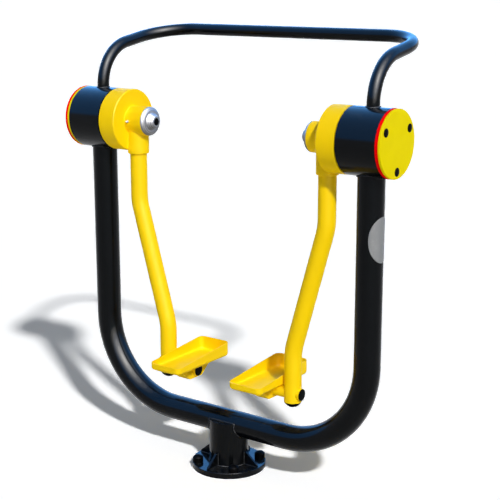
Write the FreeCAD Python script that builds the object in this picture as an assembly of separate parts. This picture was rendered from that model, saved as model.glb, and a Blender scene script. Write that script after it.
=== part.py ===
import FreeCAD, Part
import math
import os

# Outdoor air walker: two swinging footplates hung from a pipe frame on one bolted base.
# Millimetres. X runs along the swing axis, Y is the way the user faces, Z is up.
# The origin is the centre of the base flange's underside, on the ground.
# Every sub-part of a side is drawn on the right (positive X) and mirrored for the left.

V = FreeCAD.Vector
X_AXIS = V(1, 0, 0)
Z_AXIS = V(0, 0, 1)
ORIGIN = V(0, 0, 0)

# U-frame
leg_spacing = 1122.5
pivot_height = 1213.0
crossbar_height = 165.0
frame_pipe = 88.9
frame_wall = 5.0
frame_bend = 312.0

# Base
post_pipe = 139.7
post_wall = 8.0
post_lip = 13.0
post_lid = 6.0
anchor_circle = 224.0
anchor_hole = 18.0
anchor_count = 4
flange_margin = 20.0
flange_thickness = 20.0
flange_edge = 1.0
gusset_height = 46.0
gusset_margin = 8.15
gusset_nose = 8.0
gusset_thickness = 8.0

# Anchor hardware, M16
anchor_thread = 16.0
anchor_nut_flats = 24.0
anchor_nut_height = 13.0
anchor_washer_diameter = 30.0
anchor_washer_thickness = 3.0
anchor_cap_diameter = 37.5
anchor_cap_height = 25.0
anchor_cap_wall = 2.0
anchor_cap_dome = 9.0

# Handlebar
bar_pipe = 42.4
bar_wall = 3.2
bar_rise = 132.45
bar_reach = 362.0
bar_lean = 79.8
bar_foot_bend = 153.0
bar_corner_bend = 156.0

# Bearing housings
housing_pipe = 219.1
housing_wall = 8.0
housing_length = 140.0
web_thickness = 12.0
back_web_thickness = 10.0
sleeve_diameter = 70.0

# Axles
axle_diameter = 45.0
axle_collar = 60.0
axle_collar_length = 11.25
axle_thread = 36.0
axle_nut_flats = 55.0
axle_nut_height = 28.0
axle_washer_diameter = 66.0
axle_washer_thickness = 5.0
axle_end = 4.0
axle_clearance = 4.25
hub_thread = 30.0
hub_nut_flats = 46.0
hub_nut_height = 15.0
hub_washer_diameter = 52.0
hub_washer_thickness = 4.0
hub_thread_end = 3.0
thread_chamfer = 1.5

# Ball bearings, 40 x 80 x 18
bearing_bore = 40.0
bearing_outside = 80.0
bearing_width = 18.0
bearing_lip = 26.6
bearing_outer_lip = 33.4
bearing_ball = 12.0
bearing_balls = 9
bearing_recess = 10.0
spacer_wall = 4.0
ring_edge = 0.8
circlip_thickness = 2.5
circlip_depth = 1.75
circlip_width = 6.25
circlip_gap = 40.0

# Hubs
drum_gap = 4.4
drum_width = 68.45
drum_face = 8.0
drum_chamfer = 3.0
barrel_pipe = 101.6
barrel_overhang = 72.4
barrel_end_wall = 1.5
socket_wall = 7.9
socket_offset = 53.3
socket_drop = 8.45
socket_edge = 4.0
arm_insertion_stop = 6.0

# Swing stops
stop_angle = 45.0
stop_clearance = 0.3
stop_inset = 25.55
stop_lug_width = 20.0
stop_lug_length = 40.0
stop_pin = 16.0
buffer_diameter = 30.0
buffer_length = 30.0

# Hub caps
hub_cap_gap = 1.0
hub_cap_height = 32.0
hub_cap_rim = 7.0
hub_cap_rim_inset = 2.6
hub_cap_step_radius = 32.0
hub_cap_step = 12.0
hub_cap_nose_radius = 21.0
hub_cap_edge = 3.0
hub_cap_pocket = 29.0
hub_cap_wall = 4.0
hub_cap_screw = 10.0
hub_cap_screw_head = 16.0
hub_cap_screw_head_height = 10.0
hub_cap_screw_key = 8.0
hub_cap_plug = 27.0
hub_cap_plug_seat = 2.5
hub_cap_plug_dome = 1.2

# Arms
arm_pipe = 60.3
arm_wall = 4.0
arm_step_in = 125.9
arm_bend_drop = 291.2
arm_bend_rise = 130.3
arm_bend = 180.0
plug_dome = 20.0
plug_edge = 1.0
plug_spigot = 16.0
plug_wall = 3.0

# Grease nipples
nipple_offset = 57.0
nipple_thread = 8.0
nipple_hex = 9.0
nipple_hex_height = 4.0
nipple_neck = 5.0
nipple_neck_height = 4.0
nipple_ball = 2.6
nipple_depth = 6.0
nipple_duct = 3.0

# Footplates
tray_width = 135.3
tray_length = 299.2
tray_gap = 2.8
tray_height = 351.0
tray_heel_rim = 25.6
tray_toe_rim = 53.1
tray_sheet = 4.0
tray_corner = 20.5
tray_fold = 12.5

# Brackets
bracket_width = 50.5
bracket_height = 51.0
bracket_top = 97.0
bracket_bottom = 34.0
bracket_sheet = 4.0
bracket_bend = 9.0
stub_pipe = 42.4
stub_wall = 6.0
stub_gap = 0.8
crush_tube = 26.0

# Footplate bolts, M16
bolt_thread = 16.0
bolt_hole = 17.0
bolt_head = 28.0
bolt_head_height = 4.0
bolt_nut_flats = 24.0
bolt_nut_height = 8.0
bolt_tail = 1.0

# Cups round the bolts' ends and their caps
cup_bore = 34.0
cup_floor_on_arm = 1.2
cup_floor_on_bracket = 2.5
bolt_cap = 41.0
bolt_cap_thickness = 2.0
bolt_cap_edge = 1.2
bolt_cap_spigot = 3.0
bolt_cap_wall = 2.0
bolt_cap_play = 0.3

# Cover boards
board_gap = 0.5
board_red = 11.0
board_yellow = 8.0
board_edge = 2.0
cover_screw_inset = 23.55
cover_screw_angles = (30.0, 150.0, 270.0)
cover_screw = 8.0
cover_screw_clearance = 0.4
cover_screw_head = 16.0
cover_screw_head_height = 5.0
cover_screw_bite = 15.0
cover_counterbore = 18.0
cover_counterbore_depth = 6.0
cover_lug = 18.0
cover_cap = 28.0
cover_cap_dome = 3.5
cover_cap_spigot = 0.8

# Fits
axle_fit = 0.03
arm_fit = 0.1
ball_seat = 0.05
ball_play = 0.3
spacer_fit = 0.2

# Places worked out from the sizes above
leg_x = leg_spacing / 2
post_top = crossbar_height + post_lip
flange_radius = anchor_circle / 2 + flange_margin
housing_radius = housing_pipe / 2
housing_bore = housing_radius - housing_wall
housing_inner_x = leg_x - housing_length / 2
housing_outer_x = leg_x + housing_length / 2
back_web_outer_x = housing_outer_x - axle_washer_thickness - axle_nut_height - axle_end - axle_clearance
back_web_x = back_web_outer_x - back_web_thickness
drum_outer_x = housing_inner_x - drum_gap
drum_inner_x = drum_outer_x - drum_width
collar_x = housing_inner_x - axle_collar_length
outer_bearing_x = collar_x - bearing_width
barrel_radius = barrel_pipe / 2
barrel_inner_x = drum_inner_x - barrel_overhang
barrel_outer_x = collar_x + circlip_thickness + barrel_end_wall
inner_bearing_x = barrel_inner_x + bearing_recess
hub_nut_x = inner_bearing_x - hub_washer_thickness
axle_tip_x = hub_nut_x - hub_nut_height - hub_thread_end
nipple_x = barrel_inner_x + nipple_offset
arm_top_x = barrel_inner_x + socket_offset
arm_foot_x = arm_top_x - arm_step_in
arm_radius = arm_pipe / 2
arm_outer_x = arm_foot_x + arm_radius
socket_z = pivot_height - housing_radius - socket_drop
arm_top_z = pivot_height - barrel_radius - arm_insertion_stop
arm_foot_z = tray_height - bracket_height
tray_x = arm_foot_x - arm_radius - tray_gap - tray_width / 2
pin_z = tray_height - stub_pipe / 2 - stub_gap
bracket_inner_x = tray_x - bracket_width / 2
bracket_outer_x = tray_x + bracket_width / 2
bolt_head_seat_x = arm_outer_x + cup_floor_on_arm
bolt_nut_seat_x = bracket_inner_x - cup_floor_on_bracket
arm_cup_x = bolt_head_seat_x + bolt_head_height + bolt_cap_play
bracket_cup_x = bolt_nut_seat_x - bolt_nut_height - bolt_tail - bolt_cap_play
stop_radius = housing_bore - stop_inset
cover_screw_radius = housing_radius - cover_screw_inset
cover_face_x = housing_outer_x + board_red + board_yellow


def save(name, *solids):
    """Writes one sub-part, or one group of like pieces, to its own file."""
    shape = solids[0] if len(solids) == 1 else Part.makeCompound(list(solids))
    shape.exportStep("parts/" + name + ".step")


def mirrored(shape):
    """The same piece on the left side."""
    return shape.mirror(ORIGIN, X_AXIS)


def rod_x(radius, x_from, x_to, y=0.0, z=pivot_height):
    """A round bar along the swing axis."""
    return Part.makeCylinder(radius, x_to - x_from, V(x_from, y, z), X_AXIS)


def ring_x(outer, inner, x_from, x_to, y=0.0, z=pivot_height):
    """A round tube along the swing axis."""
    return rod_x(outer, x_from, x_to, y, z).cut(rod_x(inner, x_from, x_to, y, z))


def post_z(radius, z_from, z_to, x=0.0, y=0.0):
    """An upright round bar."""
    return Part.makeCylinder(radius, z_to - z_from, V(x, y, z_from), Z_AXIS)


def hexagon(flats, height, centre, direction):
    """A six-sided bar, such as a nut's blank, with its corners turned off at the far end."""
    corner = flats / math.sqrt(3)
    outline = Part.makePolygon([V(corner * math.cos(math.radians(a)), corner * math.sin(math.radians(a)), 0)
                                for a in range(0, 361, 60)])
    blank = Part.Face(outline).extrude(V(0, 0, height))
    rounding = Part.makeCone(corner + height / 2, flats / 2, height + corner - flats / 2)
    blank = blank.common(rounding)
    blank.Placement = FreeCAD.Placement(centre, FreeCAD.Rotation(Z_AXIS, direction))
    return blank


def turned(outline):
    """A piece turned on the swing axis from (x, radius) points; a pair is an arc's middle and end."""
    edges = []
    last = V(outline[0][0], 0, outline[0][1])
    for item in outline[1:] + outline[:1]:
        if isinstance(item[0], tuple):
            middle = V(item[0][0], 0, item[0][1])
            end = V(item[1][0], 0, item[1][1])
            edges.append(Part.Arc(last, middle, end).toShape())
        else:
            end = V(item[0], 0, item[1])
            edges.append(Part.LineSegment(last, end).toShape())
        last = end
    face = Part.Face(Part.Wire(edges))
    face.translate(V(0, 0, pivot_height))
    return face.revolve(V(0, 0, pivot_height), X_AXIS, 360)


def pipe_path(points, radii):
    """Straight runs joined by tangent arcs, one radius for each inner point."""
    edges = []
    start = points[0]
    for index, radius in enumerate(radii):
        corner = points[index + 1]
        back = (points[index] - corner).normalize()
        ahead = (points[index + 2] - corner).normalize()
        half = back.getAngle(ahead) / 2
        tangent = radius / math.tan(half)
        first = corner + back * tangent
        last = corner + ahead * tangent
        inward = (back + ahead).normalize()
        middle = corner + inward * (radius / math.sin(half) - radius)
        edges.append(Part.LineSegment(start, first).toShape())
        edges.append(Part.Arc(first, middle, last).toShape())
        start = last
    edges.append(Part.LineSegment(start, points[-1]).toShape())
    return Part.Wire(edges)


def swept(path, radius):
    """A round bar along a path."""
    first = path.Edges[0]
    start = first.valueAt(first.FirstParameter)
    direction = first.tangentAt(first.FirstParameter)
    outline = Part.Wire(Part.makeCircle(radius, start, direction))
    return path.makePipeShell([outline], True, False)


def bent_pipe(points, radii, outside, wall):
    """A bent round pipe of even wall."""
    path = pipe_path(points, radii)
    return swept(path, outside / 2).cut(swept(path, outside / 2 - wall))


def polar(radius, degrees):
    """The (y, z) place of a point around the swing axis, counted from +Y towards +Z."""
    angle = math.radians(degrees)
    return radius * math.cos(angle), pivot_height + radius * math.sin(angle)


def housing_block():
    """The solid outline of the right housing, used to cope the pipes that end on it."""
    return rod_x(housing_radius, housing_inner_x - leg_x, housing_outer_x + leg_x)


def make_u_frame():
    """One pipe: down the left leg, along the bottom and up the right leg, coped to both housings."""
    points = [V(-leg_x, 0, pivot_height), V(-leg_x, 0, crossbar_height),
              V(leg_x, 0, crossbar_height), V(leg_x, 0, pivot_height)]
    pipe = bent_pipe(points, [frame_bend, frame_bend], frame_pipe, frame_wall)
    block = housing_block()
    return pipe.cut(block).cut(mirrored(block))


def make_handlebar():
    """One pipe from housing to housing: up, forward over the front, across, and back down."""
    lean = math.radians(bar_lean)
    knee_z = pivot_height + housing_radius + bar_rise
    front_y = bar_reach * math.sin(lean)
    front_z = knee_z + bar_reach * math.cos(lean)
    points = [V(-leg_x, 0, pivot_height), V(-leg_x, 0, knee_z), V(-leg_x, front_y, front_z),
              V(leg_x, front_y, front_z), V(leg_x, 0, knee_z), V(leg_x, 0, pivot_height)]
    radii = [bar_foot_bend, bar_corner_bend, bar_corner_bend, bar_foot_bend]
    pipe = bent_pipe(points, radii, bar_pipe, bar_wall)
    block = housing_block()
    return pipe.cut(block).cut(mirrored(block))


def anchor_places():
    """The anchor bolts' (x, y) places, half a step round from the gussets."""
    step = 360.0 / anchor_count
    angles = [math.radians(step * (index + 0.5)) for index in range(anchor_count)]
    return [(anchor_circle / 2 * math.cos(a), anchor_circle / 2 * math.sin(a)) for a in angles]


def make_base_flange():
    """Round plate with the anchor holes and a broken top edge."""
    plate = post_z(flange_radius, 0, flange_thickness)
    rim = [edge for edge in plate.Edges if abs(edge.BoundBox.ZMin - flange_thickness) < 1e-6]
    plate = plate.makeChamfer(flange_edge, rim[:1])
    for x, y in anchor_places():
        plate = plate.cut(post_z(anchor_hole / 2, 0, flange_thickness, x, y))
    return plate


def make_base_post():
    """Stub of pipe with a lid, notched round the frame's bottom run."""
    post = post_z(post_pipe / 2, flange_thickness, post_top)
    hollow = post_z(post_pipe / 2 - post_wall, flange_thickness, post_top - post_lid)
    run = Part.makeCylinder(frame_pipe / 2, post_pipe * 2, V(-post_pipe, 0, crossbar_height), X_AXIS)
    return post.cut(hollow).cut(run)


def make_base_gussets():
    """Ribs from the post down to the flange, one between each pair of anchors."""
    head = post_pipe / 2 + gusset_nose
    root = post_pipe / 2 - post_wall / 2
    toe = flange_radius - gusset_margin
    outline = [V(root, 0, flange_thickness), V(toe, 0, flange_thickness),
               V(toe, 0, flange_thickness + gusset_nose), V(head, 0, flange_thickness + gusset_height),
               V(root, 0, flange_thickness + gusset_height)]
    rib = Part.Face(Part.makePolygon(outline + outline[:1])).extrude(V(0, gusset_thickness, 0))
    rib.translate(V(0, -gusset_thickness / 2, 0))
    rib = rib.cut(post_z(post_pipe / 2, 0, post_top))
    ribs = []
    for index in range(anchor_count):
        copy = rib.copy()
        copy.rotate(ORIGIN, Z_AXIS, index * 360.0 / anchor_count)
        ribs.append(copy)
    return ribs


def make_anchor_washers():
    top = flange_thickness + anchor_washer_thickness
    return [post_z(anchor_washer_diameter / 2, flange_thickness, top, x, y)
            .cut(post_z(anchor_hole / 2, flange_thickness, top, x, y)) for x, y in anchor_places()]


def make_anchor_nuts():
    foot = flange_thickness + anchor_washer_thickness
    nuts = []
    for x, y in anchor_places():
        nut = hexagon(anchor_nut_flats, anchor_nut_height, V(x, y, foot), Z_AXIS)
        nuts.append(nut.cut(post_z(anchor_thread / 2, foot, foot + anchor_nut_height, x, y)))
    return nuts


def dome(radius, height, edge_height):
    """A round cap's outer form on Z: an upright side and a low crown."""
    crown = (radius ** 2 + (height - edge_height) ** 2) / (2 * (height - edge_height))
    ball = Part.makeSphere(crown, V(0, 0, height - crown))
    return post_z(radius, 0, height).common(ball)


def make_anchor_caps():
    """Domed plastic caps, hollow so that the nut and the stud's end fit inside."""
    outer = dome(anchor_cap_diameter / 2, anchor_cap_height, anchor_cap_height - anchor_cap_dome)
    inner = dome(anchor_cap_diameter / 2 - anchor_cap_wall, anchor_cap_height - anchor_cap_wall,
                 anchor_cap_height - anchor_cap_dome - anchor_cap_wall)
    shell = outer.cut(inner)
    caps = []
    for x, y in anchor_places():
        cap = shell.copy()
        cap.translate(V(x, y, flange_thickness))
        caps.append(cap)
    return caps


def make_housing():
    """Short pipe across the leg's top, open at both ends."""
    return ring_x(housing_radius, housing_bore, housing_inner_x, housing_outer_x)


def cover_screw_places():
    return [polar(cover_screw_radius, angle) for angle in cover_screw_angles]


def stop_buffer_places():
    """Where the lug would meet each buffer just past the end of its swing."""
    reach = stop_lug_width / 2 + buffer_diameter / 2 + stop_clearance
    lead = math.degrees(math.asin(reach / stop_radius))
    return [polar(stop_radius, 90 - stop_angle - lead), polar(stop_radius, 90 + stop_angle + lead)]


def make_axle_carrier():
    """Two webs and a sleeve that hold the axle, with the stop pins and the cover's screw lugs."""
    front = rod_x(housing_bore, housing_inner_x, housing_inner_x + web_thickness)
    back = rod_x(housing_bore, back_web_x, back_web_outer_x)
    sleeve = rod_x(sleeve_diameter / 2, housing_inner_x, back_web_outer_x)
    carrier = front.fuse([back, sleeve])
    for y, z in cover_screw_places():
        carrier = carrier.fuse(rod_x(cover_lug / 2, back_web_x, housing_outer_x, y, z))
    for y, z in stop_buffer_places():
        pin_from = drum_outer_x - buffer_length
        carrier = carrier.fuse(rod_x(stop_pin / 2, pin_from, housing_inner_x + web_thickness / 2, y, z))
    carrier = carrier.cut(rod_x(axle_diameter / 2 + axle_fit, collar_x, housing_outer_x))
    for y, z in cover_screw_places():
        hole = rod_x(cover_screw / 2, housing_outer_x - cover_screw_bite - cover_screw, housing_outer_x, y, z)
        carrier = carrier.cut(hole)
    return carrier.removeSplitter()


def make_stop_buffers():
    """Rubber sleeves pushed over the stop pins."""
    x_to = drum_outer_x
    x_from = x_to - buffer_length
    return [ring_x(buffer_diameter / 2, stop_pin / 2, x_from, x_to, y, z) for y, z in stop_buffer_places()]


def make_axle():
    """Stepped steel pin: nut thread, plain seat in the sleeve, collar, bearing seat, end thread."""
    nut_end = back_web_outer_x + axle_washer_thickness + axle_nut_height + axle_end
    thread = axle_thread / 2
    outline = [(axle_tip_x, 0), (axle_tip_x, hub_thread / 2 - thread_chamfer),
               (axle_tip_x + thread_chamfer, hub_thread / 2), (inner_bearing_x, hub_thread / 2),
               (inner_bearing_x, bearing_bore / 2), (collar_x, bearing_bore / 2),
               (collar_x, axle_collar / 2), (housing_inner_x, axle_collar / 2),
               (housing_inner_x, axle_diameter / 2), (back_web_outer_x, axle_diameter / 2),
               (back_web_outer_x, thread), (nut_end - thread_chamfer, thread),
               (nut_end, thread - thread_chamfer), (nut_end, 0)]
    return turned(outline).cut(rod_x(hub_cap_screw / 2, axle_tip_x, axle_tip_x + 2 * hub_cap_screw))


def make_axle_washer():
    end = back_web_outer_x + axle_washer_thickness
    return ring_x(axle_washer_diameter / 2, axle_thread / 2 + spacer_fit, back_web_outer_x, end)


def make_axle_nut():
    x = back_web_outer_x + axle_washer_thickness
    nut = hexagon(axle_nut_flats, axle_nut_height, V(x, 0, pivot_height), X_AXIS)
    return nut.cut(rod_x(axle_thread / 2, x, x + axle_nut_height))


def make_hub_washer():
    return ring_x(hub_washer_diameter / 2, hub_thread / 2 + spacer_fit, hub_nut_x, inner_bearing_x)


def make_hub_nut():
    nut = hexagon(hub_nut_flats, hub_nut_height, V(hub_nut_x, 0, pivot_height), V(-1, 0, 0))
    return nut.cut(rod_x(hub_thread / 2, hub_nut_x - hub_nut_height, hub_nut_x))


def raceway(play):
    """The round groove that the balls run in, as a cutter at the middle of a bearing at x = 0."""
    groove = Part.makeTorus((bearing_lip + bearing_outer_lip) / 2, bearing_ball / 2 + play)
    groove.Placement = FreeCAD.Placement(V(0, 0, pivot_height), FreeCAD.Rotation(Z_AXIS, X_AXIS))
    return groove


def bearing_ring(outer, inner, play, x):
    """One bearing ring with its raceway and its broken edges."""
    half = bearing_width / 2
    outline = [(-half, inner), (-half, outer - ring_edge), (ring_edge - half, outer),
               (half - ring_edge, outer), (half, outer - ring_edge), (half, inner)]
    ring = turned(outline).cut(raceway(play))
    ring.translate(V(x + half, 0, 0))
    return ring


def make_inner_rings():
    return [bearing_ring(bearing_lip, bearing_bore / 2, ball_seat, x)
            for x in (inner_bearing_x, outer_bearing_x)]


def make_outer_rings():
    return [bearing_ring(bearing_outside / 2, bearing_outer_lip, ball_play, x)
            for x in (inner_bearing_x, outer_bearing_x)]


def make_bearing_balls():
    """The balls of both bearings of one side."""
    balls = []
    for x in (inner_bearing_x, outer_bearing_x):
        for index in range(bearing_balls):
            y, z = polar((bearing_lip + bearing_outer_lip) / 2, index * 360.0 / bearing_balls)
            balls.append(Part.makeSphere(bearing_ball / 2, V(x + bearing_width / 2, y, z)))
    return balls


def make_bearing_spacer():
    """Sleeve on the axle between the two inner rings."""
    inner = bearing_bore / 2 + spacer_fit
    return ring_x(inner + spacer_wall, inner, inner_bearing_x + bearing_width, outer_bearing_x)


def circlip_places():
    return [inner_bearing_x - circlip_thickness, collar_x]


def make_circlips():
    """Open spring rings in the barrel's grooves that keep the outer rings in."""
    outer = bearing_outside / 2 + circlip_depth
    half = outer * math.sin(math.radians(circlip_gap / 2))
    clips = []
    for x in circlip_places():
        ring = ring_x(outer, outer - circlip_width, x, x + circlip_thickness)
        clips.append(ring.cut(Part.makeBox(circlip_thickness, 2 * half, outer, V(x, -half, pivot_height))))
    return clips


def hub_core():
    """The barrel and the upright arm socket below it, before they are bored."""
    tube = rod_x(barrel_radius, barrel_inner_x, barrel_outer_x)
    socket = post_z(arm_radius + socket_wall, socket_z, pivot_height, arm_top_x)
    foot = [edge for edge in socket.Edges if abs(edge.BoundBox.ZMax - socket_z) < 1e-6]
    return tube.fuse(socket.makeFillet(socket_edge, foot[:1]))


def make_hub_drum():
    """Open drum that runs against the housing, with the stop lug inside, notched round the barrel."""
    outline = [(drum_inner_x, 0), (drum_inner_x, housing_radius - drum_chamfer),
               (drum_inner_x + drum_chamfer, housing_radius), (drum_outer_x, housing_radius),
               (drum_outer_x, housing_bore), (drum_inner_x + drum_face, housing_bore),
               (drum_inner_x + drum_face, 0)]
    lug_x = drum_outer_x - stop_lug_length
    lug = Part.makeBox(stop_lug_length - drum_gap, stop_lug_width, housing_radius - housing_wall / 2,
                       V(lug_x, -stop_lug_width / 2, pivot_height))
    return turned(outline).fuse(lug).cut(hub_core()).removeSplitter()


def make_hub_barrel():
    """Bearing barrel with the arm socket: bearing seats, ring grooves, arm bore and grease hole."""
    seat = bearing_outside / 2
    hub = hub_core().cut(rod_x((bearing_outer_lip + seat) / 2, barrel_inner_x, barrel_outer_x))
    hub = hub.cut(rod_x(seat, barrel_inner_x, inner_bearing_x + bearing_width))
    hub = hub.cut(rod_x(seat, outer_bearing_x, barrel_outer_x))
    for x in circlip_places():
        hub = hub.cut(rod_x(seat + circlip_depth, x, x + circlip_thickness))
    hub = hub.cut(post_z(arm_radius + arm_fit, 0, arm_top_z, arm_top_x))
    nipple_seat = V(nipple_x, -barrel_radius, pivot_height)
    hub = hub.cut(Part.makeCylinder(nipple_thread / 2, nipple_depth, nipple_seat, V(0, 1, 0)))
    hub = hub.cut(Part.makeCylinder(nipple_duct / 2, barrel_radius, nipple_seat, V(0, 1, 0)))
    return hub.removeSplitter()


def make_grease_nipple():
    """Screwed nipple on the barrel's near side, its ball tip outwards."""
    out = V(0, -1, 0)
    place = V(nipple_x, 0, pivot_height)
    neck_from = barrel_radius + nipple_hex_height
    tip = neck_from + nipple_neck_height
    stem_foot = place + out * (barrel_radius - nipple_depth)
    stem = Part.makeCylinder(nipple_thread / 2, nipple_depth, stem_foot, out)
    collar = hexagon(nipple_hex, nipple_hex_height + 1, place + out * (barrel_radius - 1), out)
    neck = Part.makeCone(nipple_neck / 2, nipple_neck / 3, nipple_neck_height, place + out * neck_from, out)
    ball = Part.makeSphere(nipple_ball, place + out * tip)
    head = collar.fuse([neck, ball]).cut(rod_x(barrel_radius, barrel_inner_x, barrel_outer_x))
    return head.fuse(stem).removeSplitter()


def hub_cap_places():
    """The cap's base, its nose and the floor that its screw's head sits on."""
    base = barrel_inner_x - hub_cap_gap
    nose = base - hub_cap_height
    return base, nose, nose + hub_cap_plug_seat + hub_cap_screw_head_height + hub_cap_edge


def make_hub_cap():
    """Turned aluminium cap: rounded rim, shallow shoulder, then a short cone with a flat nose."""
    base, nose, head_floor = hub_cap_places()
    bolt = hub_cap_screw / 2 + spacer_fit
    head = hub_cap_screw_head / 2 + spacer_fit
    plug = hub_cap_plug / 2
    plug_floor = nose + hub_cap_plug_seat
    shoulder = barrel_radius - hub_cap_rim_inset
    rim_x = base - hub_cap_rim
    step_x = base - hub_cap_step
    outline = [(base, barrel_radius),
               ((base - hub_cap_rim * 0.6, barrel_radius - hub_cap_rim_inset * 0.3), (rim_x, shoulder)),
               (((rim_x + step_x) / 2 - 1, (shoulder + hub_cap_step_radius) / 2 + 2),
                (step_x, hub_cap_step_radius)),
               (nose + hub_cap_edge, hub_cap_nose_radius),
               ((nose + hub_cap_edge * 0.3, hub_cap_nose_radius - hub_cap_edge * 0.3),
                (nose, hub_cap_nose_radius - hub_cap_edge)),
               (nose, plug), (plug_floor, plug), (plug_floor, head), (head_floor, head),
               (head_floor, bolt), (axle_tip_x, bolt), (axle_tip_x, hub_cap_pocket),
               (base - hub_cap_wall, hub_cap_pocket), (base, barrel_radius - hub_cap_wall)]
    return turned(outline)


def make_hub_cap_screw():
    """Socket screw through the cap's nose into the axle's tip."""
    base, nose, head_floor = hub_cap_places()
    head_x = head_floor - hub_cap_screw_head_height
    head = rod_x(hub_cap_screw_head / 2, head_x, head_floor)
    shank = rod_x(hub_cap_screw / 2, head_floor, axle_tip_x + 2 * hub_cap_screw - hub_cap_edge)
    key = hexagon(hub_cap_screw_key, hub_cap_screw_head_height / 2, V(head_x, 0, pivot_height), X_AXIS)
    return head.fuse(shank).cut(key).removeSplitter()


def make_hub_cap_plug():
    """Round black plug over the screw, slightly domed."""
    base, nose, head_floor = hub_cap_places()
    plug = dome(hub_cap_plug / 2, hub_cap_plug_seat + hub_cap_plug_dome, hub_cap_plug_seat)
    plug.Placement = FreeCAD.Placement(V(nose + hub_cap_plug_seat, 0, pivot_height),
                                       FreeCAD.Rotation(Z_AXIS, V(-1, 0, 0)))
    return plug


def arm_points():
    """The arm's line: its seat in the socket, its two bends and its lower end."""
    return [V(arm_top_x, 0, arm_top_z), V(arm_top_x, 0, pivot_height - arm_bend_drop),
            V(arm_foot_x, 0, tray_height + arm_bend_rise), V(arm_foot_x, 0, arm_foot_z)]


def make_arm():
    """Pipe that drops from the hub, steps inwards in two bends and drops again to the footplate."""
    pipe = bent_pipe(arm_points(), [arm_bend, arm_bend], arm_pipe, arm_wall)
    return pipe.cut(rod_x(bolt_hole / 2, bracket_inner_x, leg_x, 0, pin_z))


def make_arm_plug():
    """Domed plastic plug in the arm's lower end."""
    cup = dome(arm_radius, plug_dome, plug_edge)
    cup.rotate(ORIGIN, X_AXIS, 180)
    cup.translate(V(arm_foot_x, 0, arm_foot_z))
    radius = arm_radius - arm_wall - arm_fit
    spigot = post_z(radius, arm_foot_z, arm_foot_z + plug_spigot, arm_foot_x)
    hollow = post_z(radius - plug_wall, arm_foot_z, arm_foot_z + plug_spigot, arm_foot_x)
    return cup.fuse(spigot.cut(hollow)).removeSplitter()


def tray_block(inset):
    """The block that a tray encloses: upright walls, rounded corners and a rounded lower edge."""
    low = V(tray_x - tray_width / 2 + inset, -tray_length / 2 + inset, tray_height + inset)
    height = 2 * tray_toe_rim
    block = Part.makeBox(tray_width - 2 * inset, tray_length - 2 * inset, height, low)
    upright = [edge for edge in block.Edges if edge.BoundBox.ZLength > height - 1e-6]
    block = block.makeFillet(tray_corner - inset, upright)
    folds = [edge for edge in block.Edges if edge.BoundBox.ZMax < low.z + 1e-6]
    return block.makeFillet(tray_fold - inset, folds)


def make_tray():
    """Pressed footplate: flat floor, rounded corners and a rim that rises from heel to toe."""
    toe = tray_length / 2
    rise = (tray_toe_rim - tray_heel_rim) / tray_length
    heel_z = tray_height + tray_heel_rim - rise * toe
    toe_z = tray_height + tray_toe_rim + rise * toe
    top_z = tray_height + 3 * tray_toe_rim
    rim = [V(0, -2 * toe, heel_z), V(0, 2 * toe, toe_z), V(0, 2 * toe, top_z), V(0, -2 * toe, top_z)]
    above = Part.Face(Part.makePolygon(rim + rim[:1])).extrude(V(leg_x, 0, 0))
    return tray_block(0).cut(tray_block(tray_sheet)).cut(above)


def arm_bar():
    """The arm's lower run as a solid bar, to cope what lies against it."""
    return post_z(arm_radius, 0, pivot_height, arm_foot_x)


def bracket_outline(inset):
    """The bracket's trapezoid side view, its two lower corners bent round."""
    z_top = tray_height
    z_low = tray_height - bracket_height + inset
    slope = math.atan2(bracket_height, bracket_top - bracket_bottom)
    low = bracket_bottom - inset * math.tan(slope / 2)
    top = bracket_top - inset / math.sin(slope)
    points = [V(0, -top, z_top), V(0, -low, z_low), V(0, low, z_low), V(0, top, z_top)]
    path = pipe_path(points, [bracket_bend - inset, bracket_bend - inset])
    return Part.Face(Part.Wire(path.Edges + [Part.LineSegment(points[-1], points[0]).toShape()]))


def make_bracket():
    """Folded box under the tray with a crush tube, and a stub coped to the arm."""
    outer = bracket_outline(0).extrude(V(bracket_width, 0, 0))
    outer.translate(V(bracket_inner_x, 0, 0))
    inner = bracket_outline(bracket_sheet).extrude(V(bracket_width - 2 * bracket_sheet, 0, 0))
    inner.translate(V(bracket_inner_x + bracket_sheet, 0, 0))
    box = outer.cut(inner)
    tube = rod_x(crush_tube / 2, bracket_inner_x, bracket_outer_x, 0, pin_z)
    stub = rod_x(stub_pipe / 2, bracket_outer_x, arm_foot_x, 0, pin_z)
    stub = stub.cut(rod_x(stub_pipe / 2 - stub_wall, bracket_outer_x, arm_foot_x, 0, pin_z))
    bracket = box.fuse([tube, stub.cut(arm_bar())])
    return bracket.cut(rod_x(bolt_hole / 2, bracket_inner_x, arm_foot_x, 0, pin_z)).removeSplitter()


def make_footplate_bolt():
    """Low round head outboard, shank through arm, stub and bracket."""
    tail = bolt_nut_seat_x - bolt_nut_height - bolt_tail
    shank = rod_x(bolt_thread / 2, tail, bolt_head_seat_x, 0, pin_z)
    head = rod_x(bolt_head / 2, bolt_head_seat_x, bolt_head_seat_x + bolt_head_height, 0, pin_z)
    rim = [edge for edge in head.Edges if edge.BoundBox.XMin > bolt_head_seat_x + bolt_head_height - 1e-6]
    head = head.makeFillet(bolt_head_height / 2, rim[:1])
    return shank.fuse(head).removeSplitter()


def make_footplate_nut():
    nut = hexagon(bolt_nut_flats, bolt_nut_height, V(bolt_nut_seat_x, 0, pin_z), V(-1, 0, 0))
    return nut.cut(rod_x(bolt_thread / 2, bolt_nut_seat_x - bolt_nut_height, bolt_nut_seat_x, 0, pin_z))


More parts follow.
